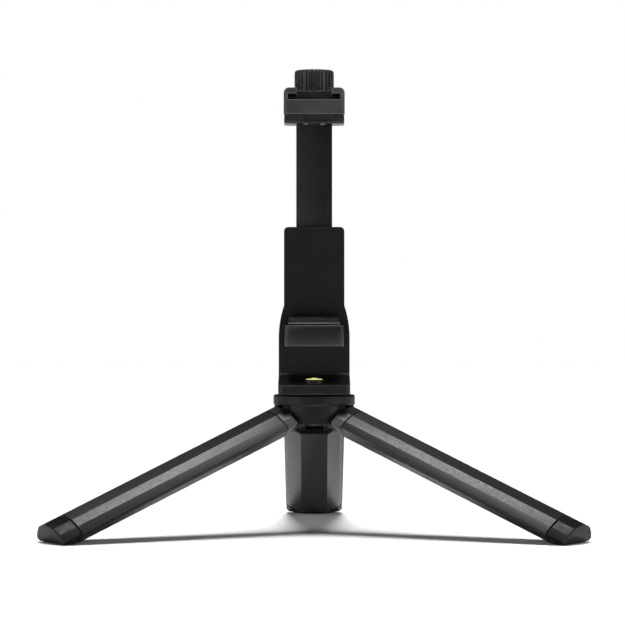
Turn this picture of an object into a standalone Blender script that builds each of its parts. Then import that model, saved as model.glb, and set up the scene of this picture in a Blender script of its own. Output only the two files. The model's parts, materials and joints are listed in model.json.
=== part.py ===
"""Tabletop phone tripod: three folding legs on a hub, and a screw clamp with a cold shoe on top.

Metres, +Z up, standing on Z = 0. The clamp opens towards -Y, and one leg points to +Y.
"""

import math

import bmesh
import bpy
from mathutils import Matrix, Vector

MM = 0.001
GAP = 0.3 * MM  # clearance kept between neighbouring pieces

# --- legs: the section of one leg, a third of the closed handle -------------------------------
HANDLE_RADIUS = 13.3 * MM  # outside radius of the three legs folded together
INNER_FLAT = 3.06 * MM  # distance of a leg's inner flat from the closed handle's axis
RIDGE_ANGLES = (28.0, 44.0, 57.0)  # polar angles of the outside ridges, degrees from the crown
SIDE_EDGE = 5.72 * MM  # height of the edge where the parting face starts, from the handle's axis
TUBE_WALL = 1.6 * MM

# --- legs: along the leg, measured from its hinge -----------------------------------------------
LEG_SLOPE = math.radians(23.15)  # below the horizon, legs open
HINGE_RADIUS = 7.0 * MM  # hinge's distance from the tripod's axis
COLLAR_START = 6.5 * MM
TUBE_START = 11.04 * MM
TUBE_END = 98.04 * MM
LEG_END = 105.4 * MM
SPIGOT = 8.0 * MM  # how far each end piece reaches into the tube
COLLAR_WALL = 1.4 * MM
MOUTH_LEVEL = 0.2 * MM  # the collar's mouth slants back below this height from the hinge
MOUTH_END = 10.2 * MM  # where the slanting mouth reaches the inner flat
COLLAR_FLOOR = 9.3 * MM
CHEEK_INSIDE = 3.3 * MM
CHEEK_OUTSIDE = 5.6 * MM
NOSE_RADIUS = 3.2 * MM
PIN_RADIUS = 1.2 * MM
CHEEK_TOP = 3.4 * MM  # height of a cheek's upper edge where it meets the collar
SPIGOT_ROOT = 0.5 * MM  # how far the knuckle's spigot starts past the collar's floor
SOLE_STAND = 0.4 * MM  # how far the rubber sole stands proud of the foot
SOLE_DEPTH = 1.2 * MM  # how far it reaches into the foot
SOLE_NEAR = 1.3 * MM  # distance of its narrow end from the start of the foot
SOLE_FAR = 1.4 * MM  # distance of its wide end from the end of the foot
SOLE_NEAR_HALF = 4.9 * MM
SOLE_FAR_HALF = 8.4 * MM
SIDE_ROUND = 0.2 * MM  # how much the parting face's corners are drawn in
LEG_AZIMUTHS = {"rear": 90.0, "left": 210.0, "right": 330.0}

INNER_LEVEL = INNER_FLAT - HINGE_RADIUS  # the inner flat, seen from the hinge
CROWN_LEVEL = HANDLE_RADIUS - HINGE_RADIUS
HINGE_HEIGHT = (
    TUBE_END * math.sin(LEG_SLOPE) - INNER_LEVEL * math.cos(LEG_SLOPE) + SOLE_STAND
)

# --- hub ----------------------------------------------------------------------------------------
HUB_RADIUS = 14.65 * MM
HUB_TOP = 49.65 * MM
HUB_UNDERSIDE = 45.8 * MM
LOBE_RADIUS = 14.3 * MM
LOBE_BOTTOM = 39.3 * MM
LOBE_FACE = 5.0 * MM  # the lobes end at this distance from a hinge, along the leg
BAY_DEPTH = 2.0 * MM  # how far a leg's bay is cut below the lobes
TONGUE_HALF = CHEEK_INSIDE - GAP
TONGUE_RADIUS = 4.6 * MM
TONGUE_ROOT = 1.2 * MM  # how far the tongues reach into the disc
CORE_RADIUS = 4.6 * MM
PAD_RADIUS = 12.0 * MM
PAD_BOTTOM = 48.9 * MM
PAD_TOP = 49.7 * MM
STUD_RADIUS = 3.175 * MM  # 1/4-20 UNC
STUD_BOTTOM = 40.5 * MM
STUD_TOP = 54.0 * MM

# --- clamp: base and column ---------------------------------------------------------------------
BASE_HALF = 12.8 * MM
BASE_BOTTOM = 50.0 * MM
BASE_FRONT = -16.0 * MM
BASE_FRONT_CORNER = 2.0 * MM
BASE_REAR_CORNER = 1.5 * MM
BACK = 16.0 * MM
DECK_FRONT = 53.15 * MM
DECK_REAR = 56.8 * MM
COLUMN_FRONT = 2.0 * MM
COLUMN_HALF = 10.9 * MM
COLUMN_TOP = 110.0 * MM
COLUMN_CORNER = 1.5 * MM
FLARE_START = 69.9 * MM
FLARE_RADIUS = 37.5 * MM
CAVITY_HALF = 6.8 * MM
CAVITY_FRONT = 4.2 * MM
CAVITY_FLOOR = 60.0 * MM
COVER_HALF = 9.6 * MM
COVER_INSIDE = 14.5 * MM
COVER_BOTTOM = 58.0 * MM
COVER_TOP = 109.0 * MM
COVER_SCREW_X = 8.1 * MM
COVER_SCREW_HEAD = 1.15 * MM
COVER_SCREW_SHANK = 0.6 * MM
COVER_SCREW_HEIGHTS = (61.0 * MM, 106.0 * MM)
COVER_SCREW_RECESS = 0.7 * MM
COVER_SCREW_PLAY = 0.15 * MM
COVER_SCREW_TIP = 10.3 * MM
COVER_CORNER = 1.5 * MM
INSERT_RADIUS = 4.2 * MM
INSERT_TOP = 54.2 * MM
LEVEL_Y = -9.2 * MM
LEVEL_RADIUS = 3.15 * MM
LEVEL_RING_RADIUS = 3.75 * MM
LEVEL_RING_TOP = 55.2 * MM
LEVEL_TOP = 56.0 * MM
LEVEL_DOME = ((0.0, 0.0), (0.5, 0.1 * MM), (0.85, 0.35 * MM), (1.0, 0.8 * MM))  # share of radius, drop

# --- clamp: jaws, post and screw ----------------------------------------------------------------
JAW_FRONT = -14.0 * MM
LOWER_JAW_HALF = 10.45 * MM
LOWER_JAW_BOTTOM = 67.0 * MM
LOWER_JAW_TOP = 74.6 * MM
LOWER_JAW_CORNER = 1.6 * MM
JAW_SCREW_X = 4.0 * MM
JAW_SCREW_HEAD = 1.8 * MM
JAW_SCREW_SHANK = 1.0 * MM
JAW_SCREW_RECESS = 0.7 * MM
JAW_SCREW_TIP = -4.5 * MM
LOWER_PAD_HALF = 9.2 * MM
LOWER_PAD_TOP = 77.6 * MM
LOWER_PAD_INSET = 0.6 * MM
UPPER_PAD_HALF = 10.5 * MM
UPPER_PAD_BOTTOM = 147.1 * MM
UPPER_PAD_INSET = 0.4 * MM
UPPER_PAD_REAR = 0.9 * MM
RIB_PITCH = 0.75 * MM
RIB_DEPTH = 0.5 * MM
SHOE_HALF = 10.85 * MM
SHOE_BOTTOM = 149.5 * MM
SHOE_TOP = 159.0 * MM
SHOE_FLOOR = 154.8 * MM
SHOE_CHANNEL_HALF = 9.35 * MM  # ISO 518 accessory shoe
SHOE_CHANNEL_TOP = 156.9 * MM
SHOE_GAP_HALF = 6.25 * MM
SHOE_STOP = -0.4 * MM
SHOE_REAR = 1.6 * MM
SHOE_LIP_CORNER = 1.8 * MM
SHOE_FOOT_CORNER = 0.4 * MM
SHOE_FRONT_CORNER = 1.5 * MM
JAW_REAR_BOTTOM = 147.4 * MM
JAW_REAR_CORNER = 2.5 * MM
POST_HALF = 6.5 * MM
POST_FRONT = 4.5 * MM
POST_BACK = 13.2 * MM
POST_WALL_X = 2.6 * MM
POST_WALL_Y = 1.5 * MM
POST_BOTTOM = 74.0 * MM
POST_SCREW_X = 5.2 * MM
POST_SCREW_HEAD = 1.4 * MM
POST_SCREW_SHANK = 0.8 * MM
POST_SCREW_RECESS = 1.5 * MM
POST_SCREW_REACH = 5.5 * MM  # how far the screws reach down into the post
SCREW_Y = 9.0 * MM
SCREW_RADIUS = 2.0 * MM
SCREW_BOTTOM = 81.0 * MM
SCREW_TOP = 163.0 * MM
CLIP_BOTTOM = 145.9 * MM
CLIP_HEIGHT = 0.8 * MM
CLIP_RADIUS = 2.6 * MM
CLIP_GROOVE = 0.5 * MM
CLIP_PLAY = 0.2 * MM
SCREW_CHAMFER = 0.5 * MM
WASHER_RADIUS = 3.6 * MM
NUT_BOTTOM = 96.0 * MM
NUT_TOP = 103.0 * MM
NUT_BOSS_HALF = 3.4 * MM
NUT_SCREW_HEAD = 1.7 * MM
NUT_SCREW_SHANK = 0.9 * MM
NUT_SCREW_RECESS = 1.2 * MM
NUT_SCREW_TIP = 12.0 * MM
KNOB_RADIUS = 7.15 * MM
KNOB_BOTTOM = 155.9 * MM
KNOB_TOP = 167.0 * MM
KNOB_FLUTES = 24
FLUTE_DEPTH = 0.45 * MM

ROUND = 32  # sides of an ordinary round piece
SMALL_ROUND = 16  # sides of a small screw or its hole
CIRCLE = 2 * math.pi


# --- the leg's section --------------------------------------------------------------------------
def section_outline(inset=0.0):
    """One leg's section as (across, height from the hinge), moved inwards by inset."""
    half = [(0.0, HANDLE_RADIUS)]
    for angle in RIDGE_ANGLES:
        polar = math.radians(angle)
        half.append((HANDLE_RADIUS * math.sin(polar), HANDLE_RADIUS * math.cos(polar)))
    parting = math.tan(math.radians(60))
    half.append(((SIDE_EDGE - SIDE_ROUND) * parting, SIDE_EDGE))
    half.append(((INNER_FLAT - SIDE_ROUND) * parting, INNER_FLAT))
    ring = half + [(-x, y) for x, y in reversed(half[1:])]
    ring = [Vector((x, y - HINGE_RADIUS)) for x, y in ring]
    return inset_ring(ring, inset) if inset else [tuple(p) for p in ring]


def inset_ring(ring, inset):
    """A clockwise convex ring with every side moved inwards by inset."""
    lines = []
    for here, after in zip(ring, ring[1:] + ring[:1]):
        along = (after - here).normalized()
        inward = Vector((along.y, -along.x))
        lines.append((here + inward * inset, along))
    points = []
    for (p, a), (q, b) in zip(lines[-1:] + lines[:-1], lines):
        step = (q - p).cross(b) / a.cross(b) if abs(a.cross(b)) > 1e-9 else 0.0
        points.append(tuple(p + a * step))
    return points


# --- the tripod's axis, set so that the origin is under the middle of the whole object -----------
def leg_reach():
    """Distance of the foot's outermost edge from the tripod's axis, legs open."""
    return (
        HINGE_RADIUS
        + LEG_END * math.cos(LEG_SLOPE)
        + CROWN_LEVEL * math.sin(LEG_SLOPE)
    )


def front_reach():
    """How far the two front feet reach towards -Y from the tripod's axis."""
    corner = HANDLE_RADIUS * math.sin(math.radians(RIDGE_ANGLES[1]))
    level = HANDLE_RADIUS * math.cos(math.radians(RIDGE_ANGLES[1])) - HINGE_RADIUS
    along = (
        HINGE_RADIUS + LEG_END * math.cos(LEG_SLOPE) + level * math.sin(LEG_SLOPE)
    )
    return along * 0.5 + corner * math.cos(math.radians(30))


AXIS_Y = (front_reach() - leg_reach()) / 2


# --- scene and helpers --------------------------------------------------------------------------
def clear_scene():
    for thing in list(bpy.data.objects):
        bpy.data.objects.remove(thing)


def new_collection(name):
    collection = bpy.data.collections.new(name)
    bpy.context.scene.collection.children.link(collection)
    return collection


def make_material(name, colour, roughness, metallic=0.0):
    material = bpy.data.materials.new(name)
    material.use_nodes = True
    shader = material.node_tree.nodes["Principled BSDF"]
    shader.inputs["Base Color"].default_value = (*colour, 1.0)
    shader.inputs["Roughness"].default_value = roughness
    shader.inputs["Metallic"].default_value = metallic
    return material


clear_scene()
PARTS = new_collection("phone_tripod")
CUTTERS = new_collection("cutters")
PLASTIC = make_material("black_plastic", (0.018, 0.018, 0.019), 0.5)
ALUMINIUM = make_material("black_aluminium", (0.045, 0.045, 0.047), 0.38, 0.7)
RUBBER = make_material("black_rubber", (0.012, 0.012, 0.012), 0.85)
STEEL = make_material("steel", (0.50, 0.50, 0.51), 0.3, 1.0)
BRASS = make_material("brass", (0.60, 0.43, 0.18), 0.3, 1.0)
VIAL = make_material("level_vial", (0.75, 0.80, 0.10), 0.12)


def make_frame(name, parent, location, rotation=(0.0, 0.0, 0.0)):
    """An empty that carries pieces; a moving piece's lies on its joint."""
    frame = bpy.data.objects.new(name, None)
    frame.location = location
    frame.rotation_euler = rotation
    frame.parent = parent
    frame.empty_display_size = 0.01
    PARTS.objects.link(frame)
    return frame


def add_object(name, mesh, frame, material=None):
    """A piece, or a cutter when it has no material."""
    thing = bpy.data.objects.new(name, mesh)
    thing.parent = frame
    if material:
        mesh.materials.append(material)
        PARTS.objects.link(thing)
        return thing
    thing.hide_render = True
    thing.display_type = "WIRE"
    CUTTERS.objects.link(thing)
    return thing


def box(name, low, high, frame, material=None):
    built = bmesh.new()
    bmesh.ops.create_cube(built, size=1.0)
    low, high = Vector(low), Vector(high)
    bmesh.ops.scale(built, vec=high - low, verts=built.verts)
    bmesh.ops.translate(built, vec=(low + high) / 2, verts=built.verts)
    return finish_mesh(name, built, frame, material)


def finish_mesh(name, built, frame, material):
    mesh = bpy.data.meshes.new(name)
    built.to_mesh(mesh)
    built.free()
    return add_object(name, mesh, frame, material)


AXES = {
    "X": Matrix(((0, 0, 1, 0), (1, 0, 0, 0), (0, 1, 0, 0), (0, 0, 0, 1))),
    "Y": Matrix(((0, 1, 0, 0), (0, 0, 1, 0), (1, 0, 0, 0), (0, 0, 0, 1))),
    "Z": Matrix.Identity(4),
}


def rod(
    name, radius, start, end, frame, material=None, axis="Z", at=(0, 0), sides=ROUND, chamfer=0.0
):
    """A cylinder along an axis; at gives the other two coordinates, in the axis's cyclic order."""
    built = bmesh.new()
    bmesh.ops.create_cone(
        built,
        cap_ends=True,
        segments=sides,
        radius1=radius,
        radius2=radius,
        depth=end - start,
    )
    middle = Matrix.Translation((at[0], at[1], (start + end) / 2))
    bmesh.ops.transform(built, matrix=AXES[axis] @ middle, verts=built.verts)
    piece = finish_mesh(name, built, frame, material)
    piece.data.shade_smooth()
    piece.data.set_sharp_from_angle(angle=math.radians(35))
    if chamfer:
        round_edges(piece, chamfer, 1, 60)
    return piece


def prism(name, outline, start, end, frame, material=None, axis="Z"):
    """A flat outline filled and extruded from start to end along an axis."""
    curve = bpy.data.curves.new(name, "CURVE")
    curve.dimensions = "2D"
    curve.fill_mode = "BOTH"
    curve.extrude = (end - start) / 2
    spline = curve.splines.new("POLY")
    spline.points.add(len(outline) - 1)
    for point, (x, y) in zip(spline.points, outline):
        point.co = (x, y, 0, 1)
    spline.use_cyclic_u = True
    drawn = bpy.data.objects.new(name, curve)
    PARTS.objects.link(drawn)
    bpy.context.view_layer.update()
    mesh = bpy.data.meshes.new_from_object(
        drawn.evaluated_get(bpy.context.evaluated_depsgraph_get())
    )
    bpy.data.objects.remove(drawn)
    built = bmesh.new()
    built.from_mesh(mesh)
    bpy.data.meshes.remove(mesh)
    bmesh.ops.remove_doubles(built, verts=built.verts, dist=1e-7)
    placed = AXES[axis] @ Matrix.Translation((0, 0, (start + end) / 2))
    bmesh.ops.transform(built, matrix=placed, verts=built.verts)
    bmesh.ops.recalc_face_normals(built, faces=built.faces)
    return finish_mesh(name, built, frame, material)


def turned(name, profile, frame, material, at=(0.0, 0.0), sides=ROUND):
    """A solid of revolution about +Z; profile is (radius, height) from the axis, top to bottom."""
    built = bmesh.new()
    verts = [built.verts.new((radius, 0, height)) for radius, height in profile]
    for here, after in zip(verts, verts[1:]):
        built.edges.new((here, after))
    piece = finish_mesh(name, built, frame, material)
    piece.location = (at[0], at[1], 0)
    spin = piece.modifiers.new("turn", "SCREW")
    spin.steps = sides
    spin.render_steps = sides
    spin.use_merge_vertices = True
    spin.merge_threshold = 1e-6
    return piece


def boolean(piece, tool, operation):
    cut = piece.modifiers.new(operation.lower(), "BOOLEAN")
    cut.operation = operation
    cut.solver = "EXACT"
    cut.object = tool
    return piece


def cut(piece, *tools):
    for tool in tools:
        boolean(piece, tool, "DIFFERENCE")
    return piece


def join(piece, *tools):
    for tool in tools:
        boolean(piece, tool, "UNION")
    return piece


def round_edges(piece, width, segments=2, angle=40):
    bevel = piece.modifiers.new("bevel", "BEVEL")
    bevel.width = width
    bevel.segments = segments
    bevel.limit_method = "ANGLE"
    bevel.angle_limit = math.radians(angle)
    return piece


def arc(centre, radius, start, end, steps):
    """Points on a circle from start to end, in degrees."""
    points = []
    for step in range(steps + 1):
        angle = math.radians(start + (end - start) * step / steps)
        points.append(
            (centre[0] + radius * math.cos(angle), centre[1] + radius * math.sin(angle))
        )
    return points


def rounded_outline(left, right, low, high, radii, steps=4):
    """A rectangle with its own radius at each corner: low right, high right, high left, low left."""
    corners = (
        (right, low, -1, 1, -90),
        (right, high, -1, -1, 0),
        (left, high, 1, -1, 90),
        (left, low, 1, 1, 180),
    )
    points = []
    for (x, y, inx, iny, start), radius in zip(corners, radii):
        if radius == 0:
            points.append((x, y))
            continue
        centre = (x + inx * radius, y + iny * radius)
        points += arc(centre, radius, start, start + 90, steps)
    return points


def comb_outline(half, base, tips):
    """A strip from base to tips, with square ribs on the tips' side."""
    root = tips + math.copysign(RIB_DEPTH, base - tips)
    ribs = int(2 * half / RIB_PITCH)
    left = -ribs * RIB_PITCH / 2
    points = [(half, base), (half, root)]
    for rib in reversed(range(ribs)):
        near = left + (rib + 0.75) * RIB_PITCH
        far = left + (rib + 0.25) * RIB_PITCH
        points += [(near, root), (near, tips), (far, tips), (far, root)]
    return points + [(-half, root), (-half, base)]


# --- hub ----------------------------------------------------------------------------------------
def hinge_frame(azimuth, slope, parent, name):
    """The frame of a leg's hinge: +X along the leg, +Y along the pin, +Z to the leg's crown."""
    turn = math.radians(azimuth)
    location = (
        HINGE_RADIUS * math.cos(turn),
        HINGE_RADIUS * math.sin(turn),
        HINGE_HEIGHT,
    )
    return make_frame(name, parent, location, (0.0, slope, turn))


def make_hub(axis):
    body = rod("hub_body", HUB_RADIUS, HUB_UNDERSIDE, HUB_TOP, axis, PLASTIC, sides=64)
    round_edges(body, 0.6 * MM, 2, 60)
    lobes = rod("hub_lobes", LOBE_RADIUS, LOBE_BOTTOM, HUB_UNDERSIDE + 0.7 * MM, axis, sides=64)
    pockets, tongues, pin_holes = [], [], []
    for side, azimuth in LEG_AZIMUTHS.items():
        hinge = hinge_frame(azimuth, LEG_SLOPE, axis, f"hub_{side}_slope")
        level = hinge_frame(azimuth, 0.0, axis, f"hub_{side}_level")
        reach = LOBE_RADIUS + 3 * MM
        bay = box(
            f"bay_{side}",
            (-HINGE_RADIUS, -CHEEK_OUTSIDE - GAP, LOBE_BOTTOM - HINGE_HEIGHT - BAY_DEPTH),
            (reach, CHEEK_OUTSIDE + GAP, HUB_UNDERSIDE - HINGE_HEIGHT),
            level,
        )
        face = box(
            f"face_{side}",
            (LOBE_FACE, -2 * LOBE_RADIUS, -2 * LOBE_RADIUS),
            (3 * LOBE_RADIUS, 2 * LOBE_RADIUS, 2 * LOBE_RADIUS),
            hinge,
        )
        cut(lobes, bay, face)
        half = CHEEK_OUTSIDE + GAP
        pockets.append(
            rod(f"pocket_{side}", NOSE_RADIUS + GAP, -half, half, level, axis="Y")
        )
        tongues.append(make_tongue(side, level))
        half = TONGUE_HALF + MM
        pin_holes.append(
            rod(f"pin_hole_{side}", PIN_RADIUS + GAP, -half, half, level, axis="Y", sides=20)
        )
    cut(body, *pockets)
    core = rod("hub_core", CORE_RADIUS, LOBE_BOTTOM - 0.3 * MM, HUB_UNDERSIDE + MM, axis)
    join(body, lobes, core, *tongues)
    recess = rod("pad_recess", PAD_RADIUS + GAP, PAD_BOTTOM - GAP, HUB_TOP + MM, axis, sides=48)
    stud_hole = rod("stud_hole", STUD_RADIUS + GAP, STUD_BOTTOM - GAP, HUB_TOP + MM, axis)
    cut(body, recess, stud_hole, *pin_holes)


def make_tongue(side, level):
    """The tongue between a leg's cheeks, drawn in the leg's upright plane from its hinge."""
    inside = HUB_UNDERSIDE + TONGUE_ROOT - HINGE_HEIGHT
    outline = [(inside, -HINGE_RADIUS), (inside, TONGUE_RADIUS - 0.3 * MM)]
    bottom = arc((0, 0), TONGUE_RADIUS, 0, 90, 8)
    outline += [(-height, along) for height, along in reversed(bottom)]
    outline.append((LOBE_BOTTOM + 0.1 * MM - HINGE_HEIGHT, -HINGE_RADIUS))
    return prism(f"tongue_{side}", outline, -TONGUE_HALF, TONGUE_HALF, level, axis="Y")


def make_head(axis):
    profile = [
        (STUD_RADIUS + GAP, PAD_TOP),
        (PAD_RADIUS, PAD_TOP),
        (PAD_RADIUS, PAD_BOTTOM),
        (STUD_RADIUS + GAP, PAD_BOTTOM),
        (STUD_RADIUS + GAP, PAD_TOP),
    ]
    turned("head_pad", profile, axis, RUBBER, sides=48)
    rod("mounting_stud", STUD_RADIUS, STUD_BOTTOM, STUD_TOP, axis, STEEL, chamfer=0.5 * MM)


# --- legs ---------------------------------------------------------------------------------------
def make_knuckle(side, hinge):
    """The hinge end of a leg: a hollow collar, two cheeks round the hub's tongue, and a spigot."""
    knuckle = prism(
        f"leg_{side}_knuckle",
        section_outline(),
        COLLAR_START,
        TUBE_START - GAP / 2,
        hinge,
        PLASTIC,
        axis="X",
    )
    round_edges(knuckle, 0.3 * MM, 1, 80)
    hollow = prism(
        f"collar_hollow_{side}",
        section_outline(COLLAR_WALL),
        COLLAR_START - MM,
        COLLAR_FLOOR,
        hinge,
        axis="X",
    )
    cut(knuckle, hollow, make_crown_cut(side, hinge), make_mouth_cut(side, hinge))
    for number, sign in enumerate((1, -1)):
        low, high = sorted((sign * CHEEK_INSIDE, sign * CHEEK_OUTSIDE))
        cheek = prism(
            f"cheek_{side}_{number}", cheek_outline(), low, high, hinge, axis="Y"
        )
        join(knuckle, cheek)
    spigot = prism(
        f"spigot_{side}",
        section_outline(TUBE_WALL + GAP),
        COLLAR_FLOOR + SPIGOT_ROOT,
        TUBE_START + SPIGOT,
        hinge,
        axis="X",
    )
    join(knuckle, spigot)
    half = CHEEK_OUTSIDE + MM
    cut(
        knuckle,
        rod(f"knuckle_hole_{side}", PIN_RADIUS + GAP, -half, half, hinge, axis="Y", sides=20),
    )
    rod(
        f"leg_{side}_hinge_pin",
        PIN_RADIUS,
        -CHEEK_OUTSIDE + 0.2 * MM,
        CHEEK_OUTSIDE - 0.2 * MM,
        hinge,
        STEEL,
        axis="Y",
        sides=20,
    )


def make_crown_cut(side, hinge):
    """What is taken off the collar's crown, so that it clears the underside of the hub's disc."""
    ceiling = HUB_UNDERSIDE - GAP - HINGE_HEIGHT
    near = COLLAR_START - 2 * MM
    above = CROWN_LEVEL + 6 * MM
    levels = [
        (ceiling + along * math.sin(LEG_SLOPE)) / math.cos(LEG_SLOPE)
        for along in (near, TUBE_START)
    ]
    outline = [(levels[0], near), (levels[1], TUBE_START), (above, TUBE_START), (above, near)]
    return prism(f"crown_cut_{side}", outline, -HUB_RADIUS, HUB_RADIUS, hinge, axis="Y")


def make_mouth_cut(side, hinge):
    """What is taken off the collar's inner side: its mouth slants back to the inner flat."""
    near = COLLAR_START - 2 * MM
    below = INNER_LEVEL - 2 * MM
    lean = (MOUTH_END - COLLAR_START) / (MOUTH_LEVEL - INNER_LEVEL)
    far = MOUTH_END + (INNER_LEVEL - below) * lean
    outline = [(MOUTH_LEVEL, near), (MOUTH_LEVEL, COLLAR_START), (below, far), (below, near)]
    return prism(f"mouth_cut_{side}", outline, -HUB_RADIUS, HUB_RADIUS, hinge, axis="Y")


def cheek_outline():
    """A cheek in the leg's upright plane, as (height, along) from the hinge."""
    nose = [(y, x) for x, y in arc((0, 0), NOSE_RADIUS, 60, 270, 12)]
    root = COLLAR_FLOOR + 0.7 * MM
    return nose + [(-NOSE_RADIUS, root), (CHEEK_TOP, root), (CHEEK_TOP, COLLAR_START)]


def make_tube(side, hinge):
    tube = prism(
        f"leg_{side}_tube",
        section_outline(),
        TUBE_START + GAP / 2,
        TUBE_END - GAP / 2,
        hinge,
        ALUMINIUM,
        axis="X",
    )
    bore = prism(
        f"tube_bore_{side}",
        section_outline(TUBE_WALL),
        TUBE_START - MM,
        TUBE_END + MM,
        hinge,
        axis="X",
    )
    cut(tube, bore)


def make_foot(side, hinge):
    """The foot's cap, cut level with the ground, and the rubber sole let into it."""
    ground = make_frame(
        f"leg_{side}_ground", hinge, (TUBE_END, 0, INNER_LEVEL), (0, -LEG_SLOPE, 0)
    )
    cap = prism(
        f"leg_{side}_foot_cap",
        section_outline(),
        TUBE_END + GAP / 2,
        LEG_END,
        hinge,
        PLASTIC,
        axis="X",
    )
    round_edges(cap, 0.4 * MM, 2, 80)
    spigot = prism(
        f"foot_spigot_{side}",
        section_outline(TUBE_WALL + GAP),
        TUBE_END - SPIGOT,
        TUBE_END + 2 * MM,
        hinge,
        axis="X",
    )
    length = (LEG_END - TUBE_END) / math.cos(LEG_SLOPE)
    below = box(
        f"foot_level_{side}",
        (GAP / 2, -HANDLE_RADIUS, -HANDLE_RADIUS),
        (2 * length, HANDLE_RADIUS, 0),
        ground,
    )
    prism(f"leg_{side}_sole", sole_outline(length, 0), -SOLE_STAND, SOLE_DEPTH, ground, RUBBER)
    pocket = prism(
        f"sole_pocket_{side}", sole_outline(length, GAP), -MM, SOLE_DEPTH + GAP, ground
    )
    join(cap, spigot)
    cut(cap, below, pocket)


def sole_outline(length, play):
    """The sole's outline on the ground, or its pocket's, which is larger by play all round."""
    near = SOLE_NEAR - play
    far = length - SOLE_FAR + play
    near_half = SOLE_NEAR_HALF + play
    far_half = SOLE_FAR_HALF + play
    return [(near, -near_half), (far, -far_half), (far, far_half), (near, near_half)]


def make_leg(side, azimuth, axis):
    hinge = hinge_frame(azimuth, LEG_SLOPE, axis, f"leg_{side}_hinge")
    make_knuckle(side, hinge)
    make_tube(side, hinge)
    make_foot(side, hinge)


# --- clamp: base and column ---------------------------------------------------------------------
def column_outline():
    """The column's front outline, as (height, across), flaring towards the base."""
    narrowing = BASE_HALF - COLUMN_HALF
    rise = math.sqrt(2 * FLARE_RADIUS * narrowing - narrowing**2)
    steps = 8
    flare = []
    for step in range(steps + 1):
        height = rise * step / steps
        across = BASE_HALF - (FLARE_RADIUS - math.sqrt(FLARE_RADIUS**2 - height**2))
        flare.append((across, FLARE_START + height))
    right = [(BASE_HALF, BASE_BOTTOM + 2 * MM)] + flare
    corner = (COLUMN_HALF - COLUMN_CORNER, COLUMN_TOP - COLUMN_CORNER)
    right += arc(corner, COLUMN_CORNER, 0, 90, 4)
    ring = right + [(-x, z) for x, z in reversed(right)]
    return [(z, x) for x, z in ring]


def make_clamp_body(swivel):
    corners = (BASE_FRONT_CORNER, BASE_REAR_CORNER, BASE_REAR_CORNER, BASE_FRONT_CORNER)
    plan = rounded_outline(-BASE_HALF, BASE_HALF, BASE_FRONT, BACK, corners)
    body = prism("clamp_body", plan, BASE_BOTTOM, DECK_REAR + 2 * MM, swivel, PLASTIC)
    column = prism("column", column_outline(), COLUMN_FRONT, BACK, swivel, axis="Y")
    round_edges(column, 1.0 * MM, 2, 50)
    slope = (DECK_REAR - DECK_FRONT) / (COLUMN_FRONT - BASE_FRONT)
    ahead = 2 * MM
    deck = prism(
        "deck",
        [
            (BASE_FRONT - ahead, DECK_FRONT - slope * ahead),
            (COLUMN_FRONT + MM, DECK_REAR + slope * MM),
            (COLUMN_FRONT + MM, COLUMN_TOP),
            (BASE_FRONT - ahead, COLUMN_TOP),
        ],
        -2 * BASE_HALF,
        2 * BASE_HALF,
        swivel,
        axis="X",
    )
    cut(body, deck)
    join(body, column)
    cavity = box(
        "cavity",
        (-CAVITY_HALF, CAVITY_FRONT, CAVITY_FLOOR),
        (CAVITY_HALF, BACK + MM, COLUMN_TOP + MM),
        swivel,
    )
    door = box(
        "cover_recess",
        (-COVER_HALF - GAP, COVER_INSIDE - GAP, COVER_BOTTOM - GAP),
        (COVER_HALF + GAP, BACK + MM, COVER_TOP + GAP),
        swivel,
    )
    insert_hole = rod(
        "insert_hole", INSERT_RADIUS + GAP, BASE_BOTTOM - MM, INSERT_TOP + GAP, swivel
    )
    level_hole = rod(
        "level_hole",
        LEVEL_RING_RADIUS + GAP,
        DECK_FRONT,
        DECK_REAR + MM,
        swivel,
        at=(0, LEVEL_Y),
    )
    cut(body, cavity, door, insert_hole, level_hole)
    for number, (x, z) in enumerate(cover_screw_places()):
        hole = rod(
            f"cover_screw_hole_{number}",
            COVER_SCREW_SHANK + GAP,
            COVER_SCREW_TIP - GAP,
            BACK,
            swivel,
            axis="Y",
            at=(z, x),
            sides=12,
        )
        cut(body, hole)
    for number, x in enumerate(jaw_screw_places()):
        cut(
            body,
            rod(
                f"jaw_screw_hole_{number}",
                JAW_SCREW_SHANK + GAP,
                COLUMN_FRONT - MM,
                CAVITY_FRONT + MM,
                swivel,
                axis="Y",
                at=(jaw_screw_height(), x),
                sides=SMALL_ROUND,
            ),
            rod(
                f"jaw_screw_recess_{number}",
                JAW_SCREW_HEAD + GAP,
                COLUMN_FRONT + JAW_SCREW_RECESS,
                CAVITY_FRONT + MM,
                swivel,
                axis="Y",
                at=(jaw_screw_height(), x),
                sides=20,
            ),
        )


def cover_screw_places():
    return [(x, z) for x in (-COVER_SCREW_X, COVER_SCREW_X) for z in COVER_SCREW_HEIGHTS]


def jaw_screw_places():
    return (-JAW_SCREW_X, JAW_SCREW_X)


def jaw_screw_height():
    return (LOWER_JAW_BOTTOM + LOWER_JAW_TOP) / 2


def make_screw_y(name, place, head, shank, frame, head_span, reach):
    """A screw along Y: its head spans head_span, and its shank reaches forward to reach."""
    x, z = place
    inner, outer = head_span
    screw = rod(name, head, inner, outer, frame, STEEL, axis="Y", at=(z, x), sides=SMALL_ROUND)
    pin = rod(f"{name}_shank", shank, reach, inner + GAP, frame, axis="Y", at=(z, x), sides=12)
    return join(screw, pin)


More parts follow.
